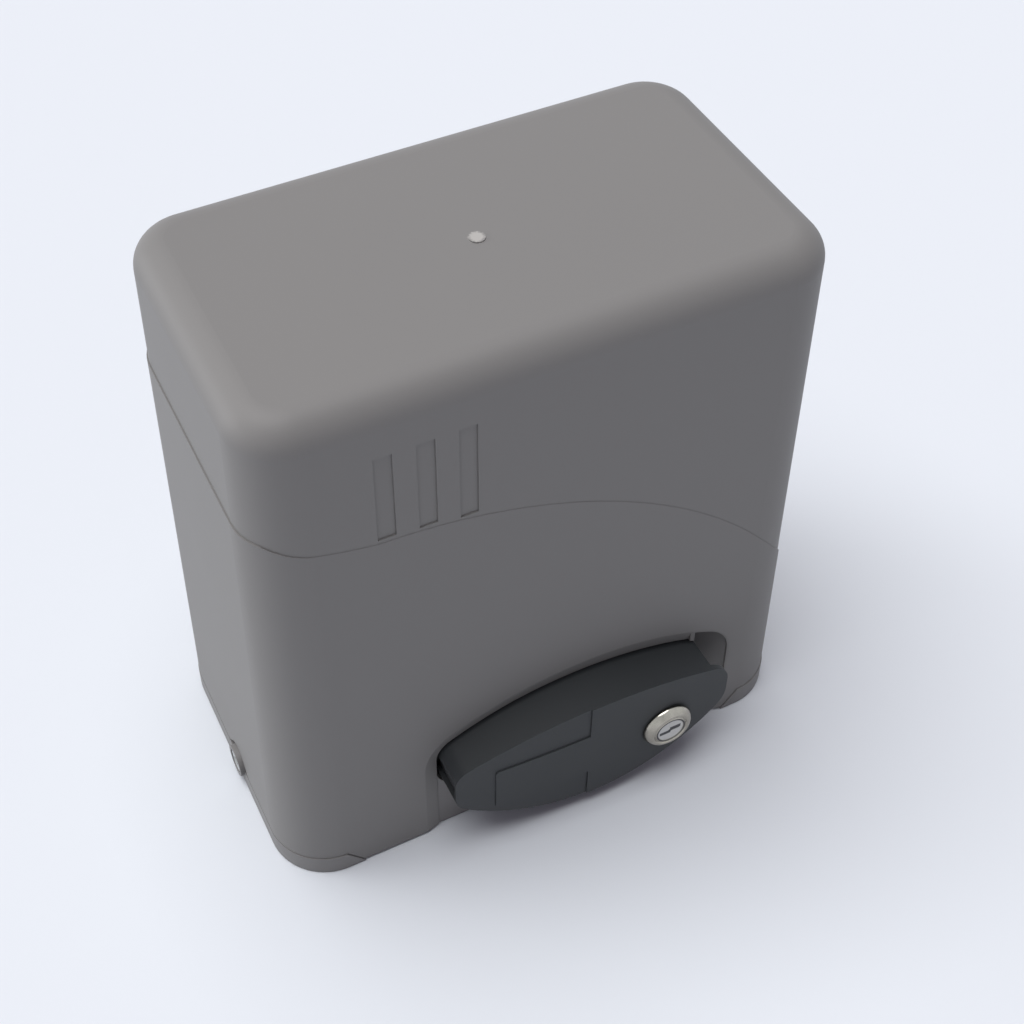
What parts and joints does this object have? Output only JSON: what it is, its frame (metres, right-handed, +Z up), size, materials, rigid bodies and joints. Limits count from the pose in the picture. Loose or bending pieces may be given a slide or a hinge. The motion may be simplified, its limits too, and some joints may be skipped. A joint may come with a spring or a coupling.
{
  "type": "sliding gate motor",
  "caption": "Sliding gate motor with a tall moulded cover on a cast base, a worm gearbox driving a rack pinion at the back, and a keyed release handle at the front.",
  "frame": {"origin": "middle of the base's underside, which stands on the foundation plate", "axes": "+X right along the front face, +Y from the front to the gate side where the pinion is, +Z up"},
  "size_m": [0.2734, 0.22, 0.292],
  "materials": {
    "cover_plastic": "fine moulded grain, satin",
    "dark_plastic": "moulded, matt",
    "lever_plastic": "fine moulded grain, satin",
    "die_cast": "as cast, blasted",
    "base_cast": "painted grey, matt",
    "steel": "turned and ground",
    "zinc_steel": "zinc plated",
    "gear_steel": "cut and oiled",
    "chrome": "plated",
    "bronze": "gear bronze, machined",
    "laminations": "stacked sheet, varnished",
    "copper": "enamelled copper wire, varnished",
    "rubber": "moulded, matt",
    "board": "solder mask",
    "terminal": "moulded",
    "relay": "moulded",
    "light_plastic": "moulded"
  },
  "bodies": {
    "base": {"base": "base_cast", "cover_screws": "zinc_steel", "cover_nuts": "zinc_steel", "levelling_screws": "zinc_steel", "cable_gland": "rubber", "gear_housing": "die_cast", "gear_cover": "die_cast", "gear_cover_screws": "zinc_steel", "housing_bolts": "zinc_steel", "rear_output_bearing": "steel", "front_output_bearing": "steel", "output_seal": "rubber", "worm_bearing": "steel", "lower_motor_bearing": "steel", "upper_motor_bearing": "steel", "lower_end_bell": "die_cast", "stator_stack": "laminations", "stator_windings": "copper", "upper_end_bell": "die_cast", "motor_tie_bolts": "zinc_steel", "plunger_spring": "steel", "hinge_bracket": "zinc_steel", "strike_bracket": "zinc_steel", "limit_switch": "dark_plastic", "run_capacitor": "light_plastic", "capacitor_clip": "dark_plastic", "transformer_core": "laminations", "transformer_coil": "copper", "board_carrier": "dark_plastic", "control_board": "board", "board_screws": "zinc_steel", "terminal_blocks": "terminal", "motor_relays": "relay", "radio_module": "board", "board_fuse": "light_plastic", "board_chips": "dark_plastic"},
    "cover": {"cover": "cover_plastic"},
    "output": {"worm_wheel": "bronze", "output_shaft": "steel", "rack_pinion": "gear_steel", "pinion_key": "steel", "pinion_washer": "zinc_steel", "pinion_bolt": "zinc_steel"},
    "clutch": {"clutch_ring": "gear_steel", "clutch_pin": "steel", "release_plunger": "steel"},
    "rotor": {"rotor_core": "laminations", "worm_shaft": "gear_steel", "rotor_fan": "dark_plastic"},
    "handle": {"release_handle": "lever_plastic", "handle_hinge_pin": "steel", "lock_body": "chrome", "lock_nut": "zinc_steel"},
    "lock": {"lock_plug": "chrome", "lock_cam": "zinc_steel"},
    "wand": {"limit_wand": "steel"}
  },
  "joints": [
    {"name": "cover_lift", "type": "slide", "parent": "base", "child": "cover", "axis": [0, 0, 1], "range_m": [0, 0.3]},
    {"name": "handle_swing", "type": "hinge", "parent": "base", "child": "handle", "pos_m": [-0.0505, -0.086, 0.048], "axis": [0, 0, -1], "range_deg": [0, 90]},
    {"name": "lock_turn", "type": "hinge", "parent": "handle", "child": "lock", "pos_m": [0.0525, -0.09, 0.0395], "axis": [0, 1, 0], "range_deg": [0, 90]},
    {"name": "rotor_spin", "type": "hinge", "parent": "base", "child": "rotor", "pos_m": [-0.0335, 0.01, 0.058], "axis": [0, 0, 1], "continuous": true},
    {"name": "output_spin", "type": "hinge", "parent": "base", "child": "output", "pos_m": [0.015, 0.01, 0.058], "axis": [0, 1, 0], "continuous": true},
    {"name": "clutch_slide", "type": "slide", "parent": "output", "child": "clutch", "axis": [0, -1, 0], "range_m": [0, 0.006]},
    {"name": "wand_swing", "type": "hinge", "parent": "base", "child": "wand", "pos_m": [0.015, 0.07214, 0.126], "axis": [0, 0, 1], "range_deg": [-20, 20], "stiffness_Nm_per_rad": 0.05}
  ],
  "couplings": [
    {"joint": "output_spin", "follows": "rotor_spin", "ratio": -0.033333},
    {"joint": "clutch_slide", "follows": "handle_swing", "m_per_rad": 0.0038197}
  ]
}
